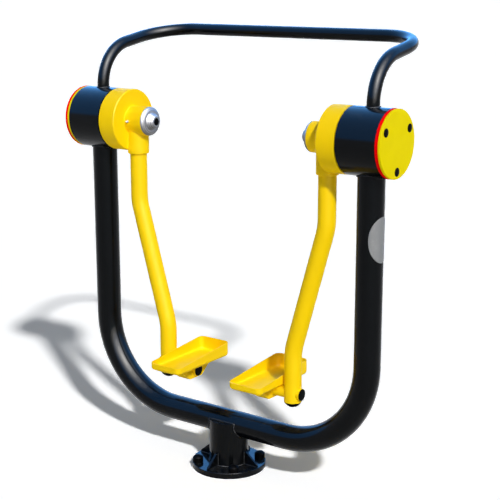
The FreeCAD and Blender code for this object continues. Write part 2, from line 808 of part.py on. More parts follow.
def make_bolt_cap_bases():
    """Painted cups round the bolt's head and nut: one coped to the round arm, one flat on the bracket."""
    on_arm = rod_x(stub_pipe / 2, arm_foot_x, arm_cup_x, 0, pin_z).cut(arm_bar())
    on_arm = on_arm.cut(rod_x(cup_bore / 2, bolt_head_seat_x, arm_cup_x, 0, pin_z))
    on_arm = on_arm.cut(rod_x(bolt_hole / 2, arm_foot_x, bolt_head_seat_x, 0, pin_z))
    on_bracket = ring_x(stub_pipe / 2, bolt_hole / 2, bracket_cup_x, bracket_inner_x, 0, pin_z)
    on_bracket = on_bracket.cut(rod_x(cup_bore / 2, bracket_cup_x, bolt_nut_seat_x, 0, pin_z))
    return [on_arm, on_bracket]


def make_bolt_caps():
    """Thin black caps pressed into the cups, over the bolt's head and its nut."""
    caps = []
    for seat, outward in ((arm_cup_x, 1), (bracket_cup_x, -1)):
        radius = cup_bore / 2 - arm_fit
        spigot = post_z(radius, -bolt_cap_spigot, 0).cut(post_z(radius - bolt_cap_wall, -bolt_cap_spigot, 0))
        cap = dome(bolt_cap / 2, bolt_cap_thickness, bolt_cap_edge).fuse(spigot).removeSplitter()
        cap.Placement = FreeCAD.Placement(V(seat, 0, pin_z), FreeCAD.Rotation(Z_AXIS, V(outward, 0, 0)))
        caps.append(cap)
    return caps


def board_layer(x_from, thickness, outermost):
    """One colour layer of a cover board, with its screw holes; the outermost one has a rounded edge."""
    disc = rod_x(housing_radius - board_gap, x_from, x_from + thickness)
    if outermost:
        rim = [edge for edge in disc.Edges if edge.BoundBox.XMin > x_from + thickness - 1e-6]
        disc = disc.makeFillet(board_edge, rim[:1])
    counterbore_x = cover_face_x - cover_counterbore_depth
    for y, z in cover_screw_places():
        disc = disc.cut(rod_x(cover_screw / 2 + cover_screw_clearance, housing_outer_x, cover_face_x, y, z))
        disc = disc.cut(rod_x(cover_counterbore / 2, counterbore_x, cover_face_x, y, z))
    return disc


def make_cover_screws():
    """Pan head screws through the board into the lugs."""
    floor = cover_face_x - cover_counterbore_depth
    screws = []
    for y, z in cover_screw_places():
        shank = rod_x(cover_screw / 2, housing_outer_x - cover_screw_bite, floor, y, z)
        head = rod_x(cover_screw_head / 2, floor, floor + cover_screw_head_height, y, z)
        screws.append(shank.fuse(head).removeSplitter())
    return screws


def make_cover_screw_caps():
    """Round black caps pressed into the counterbores, over the screw heads."""
    caps = []
    for y, z in cover_screw_places():
        cap = dome(cover_cap / 2, cover_cap_dome, cover_cap_dome * 0.3)
        cap.Placement = FreeCAD.Placement(V(cover_face_x, y, z), FreeCAD.Rotation(Z_AXIS, X_AXIS))
        spigot_radius = cover_counterbore / 2 - cover_screw_clearance
        spigot = rod_x(spigot_radius, cover_face_x - cover_cap_spigot, cover_face_x, y, z)
        caps.append(cap.fuse(spigot).removeSplitter())
    return caps


def save_pair(name, solids):
    """A piece or group that both sides have, as a left and a right sub-part."""
    save("right_" + name, *solids)
    save("left_" + name, *[mirrored(solid) for solid in solids])


def save_both(name, solids):
    """A group of like pieces of both sides, as one sub-part."""
    save(name, *solids, *[mirrored(solid) for solid in solids])


os.makedirs("parts", exist_ok=True)

# Base
save("base_flange", make_base_flange())
save("base_post", make_base_post())
save("base_gussets", *make_base_gussets())
save("anchor_washers", *make_anchor_washers())
save("anchor_nuts", *make_anchor_nuts())
save("anchor_caps", *make_anchor_caps())

# Frame
save("u_frame", make_u_frame())
save("handlebar", make_handlebar())
save_pair("bearing_housing", [make_housing()])
save_pair("axle_carrier", [make_axle_carrier()])
save_pair("stop_buffers", make_stop_buffers())
save_pair("axle", [make_axle()])
save_both("axle_washers", [make_axle_washer()])
save_both("axle_nuts", [make_axle_nut()])
save_both("hub_washers", [make_hub_washer()])
save_both("hub_nuts", [make_hub_nut()])
save_both("bearing_inner_rings", make_inner_rings())
save_both("bearing_balls", make_bearing_balls())
save_both("bearing_spacers", [make_bearing_spacer()])
save_pair("hub_cap", [make_hub_cap()])
save_both("hub_cap_screws", [make_hub_cap_screw()])
save_both("hub_cap_plugs", [make_hub_cap_plug()])

# Covers: the board's red layer lies against the right housing and faces outwards on the left one
save("right_cover_red_layer", board_layer(housing_outer_x, board_red, False))
save("right_cover_yellow_layer", board_layer(housing_outer_x + board_red, board_yellow, True))
save("left_cover_yellow_layer", mirrored(board_layer(housing_outer_x, board_yellow, False)))
save("left_cover_red_layer", mirrored(board_layer(housing_outer_x + board_yellow, board_red, True)))
save_both("cover_screws", make_cover_screws())
save_both("cover_screw_caps", make_cover_screw_caps())

# Swing arms
save_pair("hub_drum", [make_hub_drum()])
save_pair("hub_barrel", [make_hub_barrel()])
save_pair("bearing_outer_rings", make_outer_rings())
save_pair("circlips", make_circlips())
save_pair("grease_nipple", [make_grease_nipple()])
save_pair("arm", [make_arm()])
save_pair("arm_end_plug", [make_arm_plug()])
save_pair("footplate", [make_tray()])
save_pair("footplate_bracket", [make_bracket()])
save_pair("footplate_bolt", [make_footplate_bolt()])
save_pair("footplate_nut", [make_footplate_nut()])
save_pair("bolt_cap_bases", make_bolt_cap_bases())
save_pair("bolt_caps", make_bolt_caps())
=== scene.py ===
import bmesh
import bpy
import math
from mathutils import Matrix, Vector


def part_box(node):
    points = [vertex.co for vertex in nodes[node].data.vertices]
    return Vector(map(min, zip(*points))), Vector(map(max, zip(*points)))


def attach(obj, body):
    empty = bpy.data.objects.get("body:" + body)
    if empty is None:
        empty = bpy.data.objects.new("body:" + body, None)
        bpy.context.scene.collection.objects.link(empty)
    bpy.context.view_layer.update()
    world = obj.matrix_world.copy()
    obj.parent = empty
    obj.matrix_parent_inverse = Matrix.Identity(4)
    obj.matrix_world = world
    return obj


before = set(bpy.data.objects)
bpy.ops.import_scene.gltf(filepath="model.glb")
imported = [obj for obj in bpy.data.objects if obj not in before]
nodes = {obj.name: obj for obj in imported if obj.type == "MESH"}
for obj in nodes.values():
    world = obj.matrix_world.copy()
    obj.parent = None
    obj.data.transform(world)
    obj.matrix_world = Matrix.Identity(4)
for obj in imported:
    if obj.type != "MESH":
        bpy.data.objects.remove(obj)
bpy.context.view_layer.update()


# Base flange: a round plate cut from 20 mm steel, drilled for four anchors.
# It is powder coated in glossy black together with the whole welded frame.
# The paint has the fine orange peel of stoved powder and keeps a little dust on level faces.
class Reading:
    """One socket of a finish, so that its maths is written as plain sums."""

    def __init__(self, finish, socket):
        self.finish = finish
        self.socket = socket

    def combine(self, operation, *terms):
        return self.finish.add("ShaderNodeMath", {"operation": operation}, dict(enumerate(terms)))

    def __add__(self, other):
        return self.combine("ADD", self, other)

    def __radd__(self, other):
        return self.combine("ADD", other, self)

    def __sub__(self, other):
        return self.combine("SUBTRACT", self, other)

    def __rsub__(self, other):
        return self.combine("SUBTRACT", other, self)

    def __mul__(self, other):
        return self.combine("MULTIPLY", self, other)

    def __rmul__(self, other):
        return self.combine("MULTIPLY", other, self)

    def __pow__(self, other):
        return self.combine("POWER", self, other)

    def __abs__(self):
        return self.combine("ABSOLUTE", self)


class Finish:
    """The shader of one surface, built up node by node."""

    def __init__(self, owner):
        owner.use_nodes = True
        self.owner = owner
        self.tree = owner.node_tree
        self.tree.nodes.clear()

    def add(self, kind, settings, sockets, result=0):
        """One node: its settings first, then the value or the link of each socket."""
        node = self.tree.nodes.new(kind)
        for name, value in settings.items():
            setattr(node, name, value)
        for name, value in sockets.items():
            if isinstance(value, Reading):
                self.tree.links.new(value.socket, node.inputs[name])
            else:
                node.inputs[name].default_value = value
        return Reading(self, node.outputs[result])

    def place(self):
        return self.add("ShaderNodeTexCoord", {}, {}, "Object")

    def facing_up(self):
        normal = self.add("ShaderNodeTexCoord", {}, {}, "Normal")
        return self.add("ShaderNodeSeparateXYZ", {}, {0: normal}, "Z")

    def noise(self, grain, detail=2.0, where=None):
        """Cloudy values about 0.5 whose spots are one grain wide, in metres."""
        where = where or self.place()
        return self.add("ShaderNodeTexNoise", {}, {"Vector": where, "Scale": 1 / grain, "Detail": detail})

    def fade(self, value, low, high):
        """0 below low, 1 above high, soft between."""
        sockets = {"Value": value, "From Min": low, "From Max": high}
        return self.add("ShaderNodeMapRange", {"interpolation_type": "SMOOTHSTEP"}, sockets)

    def blend(self, share, first, second):
        """A colour between two colours."""
        return self.add("ShaderNodeMix", {"data_type": "RGBA"}, {0: share, 6: first, 7: second}, 2)

    def relief(self, height, depth, over=None):
        """A normal from a height of 0 to 1 that stands depth metres high."""
        sockets = {"Height": height, "Distance": depth, "Strength": 1.0}
        if over:
            sockets["Normal"] = over
        return self.add("ShaderNodeBump", {}, sockets)

    def coat(self, **sockets):
        """Closes the tree with one surface shader."""
        named = {}
        for name, value in sockets.items():
            named[name.replace("_", " ").title().replace("Ior", "IOR")] = value
        surface = self.add("ShaderNodeBsdfPrincipled", {}, named)
        self.show(surface, "ShaderNodeOutputMaterial")

    def show(self, surface, output):
        """Joins a shader to the tree's output."""
        self.tree.links.new(surface.socket, self.tree.nodes.new(output).inputs["Surface"])


def powder_coat(name, colour, shade, roughness, **surface):
    """Stoved powder: orange peel, slow drifts of gloss and colour, dust where it can lie."""
    paint = Finish(bpy.data.materials.new(name))
    drift = paint.noise(grain=0.19, detail=3.0)
    peel = paint.noise(grain=0.0026, detail=1.0)
    pits = paint.noise(grain=0.0009, detail=0.0)
    level = paint.fade(paint.facing_up(), 0.6, 0.98)
    dust = level * paint.fade(paint.noise(grain=0.03, detail=5.0), 0.42, 0.75)
    dust_colour = (0.42, 0.39, 0.34, 1)
    body = paint.blend(paint.fade(drift, 0.3, 0.7), colour, shade)
    body = paint.blend(dust * 0.02, body, dust_colour)
    normal = paint.relief(peel, depth=0.00005)
    normal = paint.relief(pits, depth=0.000006, over=normal)
    dullness = roughness + drift * 0.08 + dust * 0.16
    paint.coat(base_color=body, roughness=dullness, normal=normal, **surface)
    return paint.owner


def finish_nodes(material, *names):
    """Gives CAD sub-parts their material."""
    for name in names:
        nodes[name].data.materials.clear()
        nodes[name].data.materials.append(material)


black_powder = powder_coat("black_powder_coat", colour=(0.0015, 0.0016, 0.0018, 1),
                           shade=(0.0021, 0.0022, 0.0025, 1), roughness=0.36,
                           specular_ior_level=0.012, specular_tint=(0.5, 0.78, 1.0, 1),
                           coat_weight=1.0, coat_roughness=0.07, coat_ior=1.152)
finish_nodes(black_powder, "base_flange")


# Base post and gussets: a stub of heavy pipe with four ribs, MIG welded to the flange and to each other.
# The weld is a run of small overlapping ripples along every seam, painted over with the frame.
# Each seam is a path in the corner between two faces, and the bead is swept along it.
def weld_bead_tree():
    """Sweeps a rippled bead along the edges of a mesh of seams."""
    tree = bpy.data.node_groups.new("weld_bead", "GeometryNodeTree")
    face = tree.interface
    face.new_socket("Seams", in_out="INPUT", socket_type="NodeSocketGeometry")
    sizes = {"Bead Radius": 0.004, "Ripple Pitch": 0.0028, "Ripple Depth": 0.2, "Seed": 3.0}
    for name, value in sizes.items():
        face.new_socket(name, in_out="INPUT", socket_type="NodeSocketFloat").default_value = value
    face.new_socket("Paint", in_out="INPUT", socket_type="NodeSocketMaterial")
    face.new_socket("Bead", in_out="OUTPUT", socket_type="NodeSocketGeometry")

    def add(kind, settings, sockets):
        node = tree.nodes.new(kind)
        for name, value in settings.items():
            setattr(node, name, value)
        for name, value in sockets.items():
            if isinstance(value, bpy.types.NodeSocket):
                tree.links.new(value, node.inputs[name])
            else:
                node.inputs[name].default_value = value
        return node.outputs

    def maths(operation, first, second):
        return add("ShaderNodeMath", {"operation": operation}, {0: first, 1: second})[0]

    bead_sides = 9
    steps_per_ripple = 6.0
    ripple_sharpness = 1.6
    wavers_per_metre = 90.0
    waver_depth = 0.3
    least_size = 0.85
    given = add("NodeGroupInput", {}, {})
    seams = add("GeometryNodeMeshToCurve", {}, {"Mesh": given["Seams"]})[0]
    step = maths("DIVIDE", given["Ripple Pitch"], steps_per_ripple)
    seams = add("GeometryNodeResampleCurve", {"mode": "LENGTH"}, {"Curve": seams, "Length": step})[0]
    along = add("GeometryNodeSplineParameter", {}, {})["Length"]
    turn = maths("FRACT", maths("DIVIDE", along, given["Ripple Pitch"]), 0.0)
    fall = maths("MULTIPLY", maths("POWER", turn, ripple_sharpness), given["Ripple Depth"])
    place = maths("ADD", maths("MULTIPLY", along, wavers_per_metre), given["Seed"])
    waver = add("ShaderNodeTexNoise", {"noise_dimensions": "1D"}, {"W": place, "Scale": 1.0})[0]
    size = maths("SUBTRACT", maths("ADD", maths("MULTIPLY", waver, waver_depth), least_size), fall)
    circle = {"Resolution": bead_sides, "Radius": given["Bead Radius"]}
    ring = add("GeometryNodeCurvePrimitiveCircle", {}, circle)[0]
    swept = {"Curve": seams, "Profile Curve": ring, "Scale": size, "Fill Caps": True}
    bead = add("GeometryNodeCurveToMesh", {}, swept)[0]
    bead = add("GeometryNodeSetShadeSmooth", {}, {"Geometry": bead})[0]
    bead = add("GeometryNodeRealizeInstances", {}, {"Geometry": bead})[0]
    bead = add("GeometryNodeSetMaterial", {}, {"Geometry": bead, "Material": given["Paint"]})[0]
    add("NodeGroupOutput", {}, {"Bead": bead})
    return tree


bead_tree = weld_bead_tree()


def weld(name, body, paint, radius, seams):
    """One welded run or more: seams are lists of points, closed where the first point comes again."""
    same_point = 1e-6
    pitch_per_radius = 0.8
    mesh = bpy.data.meshes.new(name + "_seams")
    points = []
    edges = []
    for seam in seams:
        closed = math.dist(seam[0], seam[-1]) < same_point
        run = seam[:-1] if closed else seam
        start = len(points)
        points += run
        edges += [(start + index, start + index + 1) for index in range(len(run) - 1)]
        if closed:
            edges.append((start + len(run) - 1, start))
    mesh.from_pydata(points, edges, [])
    path = bpy.data.objects.new(name + "_path", mesh)
    bpy.context.scene.collection.objects.link(path)
    modifier = path.modifiers.new("bead", "NODES")
    modifier.node_group = bead_tree
    sockets = bead_tree.interface.items_tree
    inputs = {socket.name: socket.identifier for socket in sockets if socket.in_out == "INPUT"}
    modifier[inputs["Bead Radius"]] = radius
    modifier[inputs["Ripple Pitch"]] = radius * pitch_per_radius
    modifier[inputs["Paint"]] = paint
    finished = path.evaluated_get(bpy.context.evaluated_depsgraph_get())
    bead = bpy.data.objects.new(name, bpy.data.meshes.new_from_object(finished))
    bpy.data.objects.remove(path)
    bpy.context.scene.collection.objects.link(bead)
    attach(bead, body)


def arc(centre, radius, start, end):
    """Points (x, y) round a centre, angles in degrees."""
    steps = 48
    angles = [math.radians(start + (end - start) * step / steps) for step in range(steps + 1)]
    return [(centre[0] + radius * math.cos(a), centre[1] + radius * math.sin(a)) for a in angles]


def rib_point(turn, side, along, height):
    """A point on a rib turned from the X axis: side off its middle, along from the post's axis."""
    cos = math.cos(math.radians(turn))
    sin = math.sin(math.radians(turn))
    return (along * cos - side * sin, along * sin + side * cos, height)


flange_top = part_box("base_flange")[1].z
post_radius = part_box("base_post")[1].x
post_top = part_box("base_post")[1].z
rib_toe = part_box("base_gussets")[1].x
rib_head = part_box("base_gussets")[1].z
rib_half = 0.004
rib_clearance = 0.002
bead_start = 0.003
rib_turn = math.degrees(math.asin((rib_half + rib_clearance) / post_radius))
base_seams = []
for turn in (0, 90, 180, 270):
    foot = arc((0, 0), post_radius, turn + rib_turn, turn + 90 - rib_turn)
    base_seams.append([(x, y, flange_top) for x, y in foot])
    for side in (-rib_half, rib_half):
        base_seams.append([rib_point(turn, side, post_radius + bead_start, flange_top),
                           rib_point(turn, side, rib_toe, flange_top)])
        base_seams.append([rib_point(turn, side, post_radius, flange_top + bead_start),
                           rib_point(turn, side, post_radius, rib_head)])
finish_nodes(black_powder, "base_post", "base_gussets")
weld("base_welds", "frame", black_powder, radius=0.0032, seams=base_seams)


# Anchor hardware: M16 nuts on flat washers, zinc plated, under domed caps of black nylon.
# The zinc has a mottled grey bloom, and the nylon shows the fine grain of its mould.
# The caps snap over the nuts and hide them.
def zinc_plate():
    """Weathered zinc: a patchy grey bloom over small crystals that differ in gloss."""
    zinc = Finish(bpy.data.materials.new("zinc_plated_steel"))
    crystals_per_metre = 700.0
    pattern = {"Vector": zinc.place(), "Scale": crystals_per_metre}
    crystals = zinc.add("ShaderNodeTexVoronoi", {}, pattern, "Color")
    crystals = zinc.add("ShaderNodeSeparateColor", {}, {0: crystals})
    bloom = zinc.noise(grain=0.012, detail=4.0)
    body = zinc.blend(zinc.fade(bloom, 0.35, 0.7), (0.17, 0.173, 0.18, 1), (0.24, 0.236, 0.222, 1))
    zinc.coat(base_color=body, metallic=1.0, roughness=0.44 + crystals * 0.12 + bloom * 0.1,
              normal=zinc.relief(crystals, depth=0.000004))
    return zinc.owner


def moulded_plastic(name, colour, worn, roughness):
    """Injection moulded nylon: spark-eroded grain and a few dull scuffs."""
    nylon = Finish(bpy.data.materials.new(name))
    grain = nylon.noise(grain=0.0004)
    scuff = nylon.fade(nylon.noise(grain=0.006, detail=6.0), 0.56, 0.72)
    body = nylon.blend(scuff * 0.35, colour, worn)
    nylon.coat(base_color=body, roughness=roughness + grain * 0.1 + scuff * 0.12,
               normal=nylon.relief(grain, depth=0.000012), specular_ior_level=0.012)
    return nylon.owner


zinc = zinc_plate()
black_plastic = moulded_plastic("black_plastic", colour=(0.0016, 0.0016, 0.0018, 1),
                                worn=(0.0048, 0.0048, 0.0052, 1), roughness=0.28)
finish_nodes(zinc, "anchor_washers", "anchor_nuts")
finish_nodes(black_plastic, "anchor_caps")


# U-frame: one 89 mm steel pipe bent down, along and up again on a 312 mm radius.
# Its bottom run lies in the notched post, and each leg is coped under a bearing housing.
# The three joints are welded all round.
leg_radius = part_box("u_frame")[1].y
leg_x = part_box("u_frame")[1].x - leg_radius
run_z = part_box("u_frame")[0].z + leg_radius
housing_low, housing_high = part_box("right_bearing_housing")
housing_radius = housing_high.y
pivot_z = (housing_low.z + housing_high.z) / 2


def saddle(x, radius, drum_radius, side, start=0.0, end=360.0):
    """The seam of an upright pipe that ends on the underside (-1) or the top (1) of a level drum."""
    return [(px, py, pivot_z + side * math.sqrt(drum_radius ** 2 - py ** 2))
            for px, py in arc((x, 0), radius, start, end)]


lid_turn = math.degrees(math.asin((post_top - run_z) / leg_radius))
notch = arc((0, run_z), leg_radius, lid_turn, -180 - lid_turn)
notch = [(math.sqrt(post_radius ** 2 - y ** 2), y, z) for y, z in notch]
frame_seams = [notch + [(-x, y, z) for x, y, z in reversed(notch)] + notch[:1]]
for sign in (-1, 1):
    frame_seams.append(saddle(sign * leg_x, leg_radius, housing_radius, -1))
finish_nodes(black_powder, "u_frame")
weld("frame_welds", "frame", black_powder, radius=0.0042, seams=frame_seams)


# Bearing housings: short pieces of 219 mm pipe, each with two webs and a sleeve for the axle inside.
# Two rubber buffers on pins stick out of the inner web and end the arm's swing.
# Pipe, webs and pins are welded and coated with the frame; the buffers are pushed on afterwards.
def buffer_rubber_finish():
    """Moulded rubber: dull black with a bloom."""
    rubber = Finish(bpy.data.materials.new("buffer_rubber"))
    bloom = rubber.noise(grain=0.008, detail=5.0)
    body = rubber.blend(rubber.fade(bloom, 0.4, 0.7), (0.016, 0.016, 0.016, 1), (0.040, 0.040, 0.038, 1))
    pores = rubber.relief(rubber.noise(grain=0.0012), depth=0.00004)
    rubber.coat(base_color=body, roughness=0.72 + bloom * 0.15, normal=pores)
    return rubber.owner


finish_nodes(black_powder, "left_bearing_housing", "right_bearing_housing",
             "left_axle_carrier", "right_axle_carrier")
finish_nodes(buffer_rubber_finish(), "left_stop_buffers", "right_stop_buffers")


# Axles: stepped pins turned from steel bar, drawn into the sleeve by an M36 nut on a washer.
# Two ball bearings a side run on the pin, kept apart by a spacer and held by an M30 nut.
# Turned faces show tool rings about the axle, and ground races are brighter and finer.
def round_axle(finish):
    """A point's place along the swing axis, and its distance from that axis."""
    parts = finish.place()
    x, y, z = [finish.add("ShaderNodeSeparateXYZ", {}, {0: parts}, axis) for axis in "XYZ"]
    rise = z - pivot_z
    return x, (y * y + rise * rise) ** 0.5


def tool_lines(finish, along, pitch, detail):
    """The lines that a cutting tool leaves across its feed, one pitch wide in metres."""
    sockets = {"W": along, "Scale": 1 / pitch, "Detail": detail}
    return finish.add("ShaderNodeTexNoise", {"noise_dimensions": "1D"}, sockets)


def turned_metal(name, bright, dark, ring, groove, low, spread):
    """Metal turned about the swing axis: rings that follow both the length and the radius."""
    metal = Finish(bpy.data.materials.new(name))
    x, radius = round_axle(metal)
    rings = tool_lines(metal, abs(x) + radius, ring, detail=3.0)
    haze = metal.noise(grain=0.014, detail=3.0)
    body = metal.blend(metal.fade(rings, 0.3, 0.7), bright, dark)
    metal.coat(base_color=body, metallic=1.0, roughness=low + rings * spread + haze * 0.05,
               normal=metal.relief(rings, groove))
    return metal.owner


machined = turned_metal("machined_steel", bright=(0.52, 0.52, 0.53, 1), dark=(0.40, 0.40, 0.42, 1),
                        ring=0.0006, groove=0.000006, low=0.22, spread=0.2)
ground = turned_metal("bearing_steel", bright=(0.66, 0.66, 0.67, 1), dark=(0.58, 0.59, 0.61, 1),
                      ring=0.0002, groove=0.0000015, low=0.08, spread=0.12)
finish_nodes(machined, "left_axle", "right_axle", "bearing_spacers")
finish_nodes(ground, "bearing_inner_rings", "bearing_balls",
             "left_bearing_outer_rings", "right_bearing_outer_rings")
finish_nodes(zinc, "axle_washers", "axle_nuts", "hub_washers", "hub_nuts")


# Cover boards: discs of two-colour polyethylene sheet over the open housing ends, three screws each.
# The face keeps the sheet's pebbled skin, and the rim shows fine router lines round the disc.
# Flat-domed black caps sit over the screw heads.
def sheet_plastic(name, colour, deep):
    """Polyethylene sheet: pebbled skin outside, router lines on the cut rim."""
    sheet = Finish(bpy.data.materials.new(name))
    x, radius = round_axle(sheet)
    rim_begins = housing_radius - 0.003
    rim_full = housing_radius - 0.0012
    lines_per_metre = 2600
    rim = sheet.fade(radius, rim_begins, rim_full)
    lines = tool_lines(sheet, x, pitch=1 / lines_per_metre, detail=1.0)
    pebbles = sheet.noise(grain=0.0013, detail=1.0)
    cloud = sheet.noise(grain=0.05, detail=3.0)
    body = sheet.blend(sheet.fade(cloud, 0.3, 0.72), colour, deep)
    body = sheet.blend(rim * sheet.fade(lines, 0.35, 0.8) * 0.3, body, deep)
    height = pebbles * (1 - rim) + lines * rim * 0.6
    sheet.coat(base_color=body, roughness=0.3 + pebbles * 0.12 + rim * 0.16,
               normal=sheet.relief(height, depth=0.00004), specular_ior_level=0.01)
    return sheet.owner


red_plastic = sheet_plastic("red_plastic", colour=(0.93, 0.001, 0.001, 1), deep=(0.85, 0.001, 0.001, 1))
yellow_plastic = sheet_plastic("yellow_plastic", colour=(0.80, 0.660, 0.001, 1),
                               deep=(0.78, 0.640, 0.001, 1))
finish_nodes(red_plastic, "left_cover_red_layer", "right_cover_red_layer")
finish_nodes(yellow_plastic, "left_cover_yellow_layer", "right_cover_yellow_layer")
finish_nodes(zinc, "cover_screws")
finish_nodes(black_plastic, "cover_screw_caps")


# Handlebar: one 42 mm pipe bent four times, from housing to housing and leaning out ahead of the user.
# Both feet are coped to the tops of the housings and welded all round.
# It is coated with the frame.
bar_radius = -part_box("handlebar")[0].y
bar_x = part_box("handlebar")[1].x - bar_radius
bar_seams = [saddle(sign * bar_x, bar_radius, housing_radius, 1) for sign in (-1, 1)]
finish_nodes(black_powder, "handlebar")
weld("handlebar_welds", "frame", black_powder, radius=0.0034, seams=bar_seams)


# Plate on the right leg: a thin oval of grey anodised aluminium glued round the leg's outer side.
# It follows the pipe, stands less than a millimetre proud and has a softly rounded edge.
# A shallow rolled line runs round it just inside the edge.
plate_half_width = 0.053
plate_half_height = 0.0745
plate_centre_z = 0.907
plate_thickness = 0.0009
plate_glue = 0.00005
plate_steps = 96
plate_rings = [(0.2, 1.0), (0.4, 1.0), (0.6, 1.0), (0.76, 1.0), (0.86, 1.0), (0.885, 1.0),
               (0.895, 0.78), (0.905, 0.72), (0.915, 0.78), (0.925, 1.0), (0.955, 1.0), (0.975, 0.94),
               (0.99, 0.75), (0.998, 0.4), (1.0, 0.0)]
plate_back_ring = (0.6, 0.0)


def plate_point(share, turn, height):
    """A point of the oval wrapped on the leg: share of its size, turn round it, share of its thickness."""
    across = plate_half_width * share * math.cos(turn) / leg_radius
    radius = leg_radius + plate_glue + plate_thickness * height
    return (leg_x + radius * math.cos(across), radius * math.sin(across),
            plate_centre_z + plate_half_height * share * math.sin(turn))


def make_plate():
    """Rings of an ellipse, from the middle of the face over the edge to the middle of the back."""
    form = bmesh.new()
    turns = [2 * math.pi * step / plate_steps for step in range(plate_steps)]
    pairs = [(step, (step + 1) % plate_steps) for step in range(plate_steps)]
    loops = []
    for share, height in plate_rings + [plate_back_ring]:
        loops.append([form.verts.new(plate_point(share, turn, height)) for turn in turns])
    front = form.verts.new(plate_point(0, 0, 1.0))
    back = form.verts.new(plate_point(0, 0, 0.0))
    for inner, outer in zip(loops, loops[1:]):
        for step, after in pairs:
            form.faces.new((inner[step], outer[step], outer[after], inner[after]))
    for step, after in pairs:
        form.faces.new((front, loops[0][step], loops[0][after]))
        form.faces.new((back, loops[-1][after], loops[-1][step]))
    bmesh.ops.recalc_face_normals(form, faces=form.faces)
    mesh = bpy.data.meshes.new("blank_plate")
    form.to_mesh(mesh)
    form.free()
    mesh.polygons.foreach_set("use_smooth", [True] * len(mesh.polygons))
    return mesh


def plate_finish():
    """Grey anodised sheet, brushed lengthwise, with faint handling marks."""
    grey = Finish(bpy.data.materials.new("blank_plate_grey"))
    mark_colour = (0.28, 0.285, 0.29, 1)
    stretched = grey.add("ShaderNodeMapping", {}, {"Vector": grey.place(), "Scale": (1.0, 1.0, 0.02)})
    brushed = grey.noise(grain=0.0006, where=stretched)
    marks = grey.noise(grain=0.02, detail=4.0)
    body = grey.blend(grey.fade(brushed, 0.3, 0.7), (0.206, 0.213, 0.220, 1), (0.188, 0.195, 0.203, 1))
    body = grey.blend(grey.fade(marks, 0.5, 0.8) * 0.25, body, mark_colour)
    grey.coat(base_color=body, roughness=0.42 + brushed * 0.12,
              normal=grey.relief(brushed, depth=0.000008), specular_ior_level=0.12)
    return grey.owner


plate = bpy.data.objects.new("blank_plate", make_plate())
plate.data.materials.append(plate_finish())
bpy.context.scene.collection.objects.link(plate)
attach(plate, "frame")


# Hubs: an open steel drum against the housing, with the bearing barrel and the arm's socket in its face.
# Drum, barrel and socket are welded into one piece and powder coated in glossy yellow.
# Thin beads lie in the corner between barrel and drum and where the socket meets both.
yellow_powder = powder_coat("yellow_paint", colour=(0.96, 0.655, 0.001, 1), shade=(0.94, 0.63, 0.001, 1),
                            roughness=0.38, specular_ior_level=0.05)
barrel_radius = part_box("right_hub_barrel")[1].y
drum_face_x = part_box("right_hub_drum")[0].x
drum_low_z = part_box("right_hub_drum")[0].z
drum_rim = 0.003
arm_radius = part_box("right_arm")[1].y
socket_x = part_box("right_arm")[1].x - arm_radius
socket_radius = 0.03805
cut = math.degrees(math.acos((drum_face_x - socket_x) / socket_radius))
cut_y = socket_radius * math.sin(math.radians(cut))
cut_z = pivot_z - math.sqrt(barrel_radius ** 2 - cut_y ** 2)
open_turn = math.degrees(math.asin(cut_y / barrel_radius))
socket_seam = saddle(socket_x, socket_radius, barrel_radius, -1, cut, 360 - cut)
face_ring = arc((0, pivot_z), barrel_radius, -90 + open_turn, 270 - open_turn)
for side, sign in (("left", -1), ("right", 1)):
    face_x = sign * drum_face_x
    hub_seams = [[(sign * x, y, z) for x, y, z in socket_seam], [(face_x, y, z) for y, z in face_ring]]
    for y in (-cut_y, cut_y):
        hub_seams.append([(face_x, y, cut_z), (face_x, y, drum_low_z + drum_rim)])
    weld(side + "_hub_welds", side + "_swing_arm", yellow_powder,
         radius=0.0017, seams=hub_seams)
    finish_nodes(yellow_powder, side + "_hub_drum", side + "_hub_barrel")


# Retaining rings and grease nipples: a spring ring each side of the bearings, in the barrel's grooves.
# The rings are phosphated spring steel, almost black.
# A plated nipple is screwed into the near side of each barrel.
def phosphate():
    """Dark phosphate on spring steel, with fine bright rub marks."""
    dark = Finish(bpy.data.materials.new("spring_steel"))
    rub = dark.fade(dark.noise(grain=0.0015, detail=5.0), 0.6, 0.75)
    body = dark.blend(rub * 0.4, (0.045, 0.046, 0.050, 1), (0.22, 0.22, 0.23, 1))
    grain = dark.relief(dark.noise(grain=0.0003), depth=0.00001)
    dark.coat(base_color=body, metallic=0.8, roughness=0.5 - rub * 0.15, normal=grain)
    return dark.owner


finish_nodes(phosphate(), "left_circlips", "right_circlips")
finish_nodes(zinc, "left_grease_nipple", "right_grease_nipple")


# Hub caps: turned aluminium noses over the barrel ends, each on one socket screw into the axle.
# The lathe leaves soft rings on rim, shoulder and cone.
# A round black plug closes the screw's pocket.
aluminium = turned_metal("turned_aluminium", bright=(0.19, 0.19, 0.192, 1), dark=(0.055, 0.055, 0.057, 1),
                         ring=0.0035, groove=0.00004, low=0.36, spread=0.16)
finish_nodes(aluminium, "left_hub_cap", "right_hub_cap")
finish_nodes(zinc, "hub_cap_screws")
finish_nodes(black_plastic, "hub_cap_plugs")


# Arms: 60 mm pipe that drops from the socket, steps inwards through two bends and drops again.
# The pipe is coated in the same yellow and pushed into the socket.
# A domed black plug closes its lower end.
finish_nodes(yellow_powder, "left_arm", "right_arm")
finish_nodes(black_plastic, "left_arm_end_plug", "right_arm_end_plug")


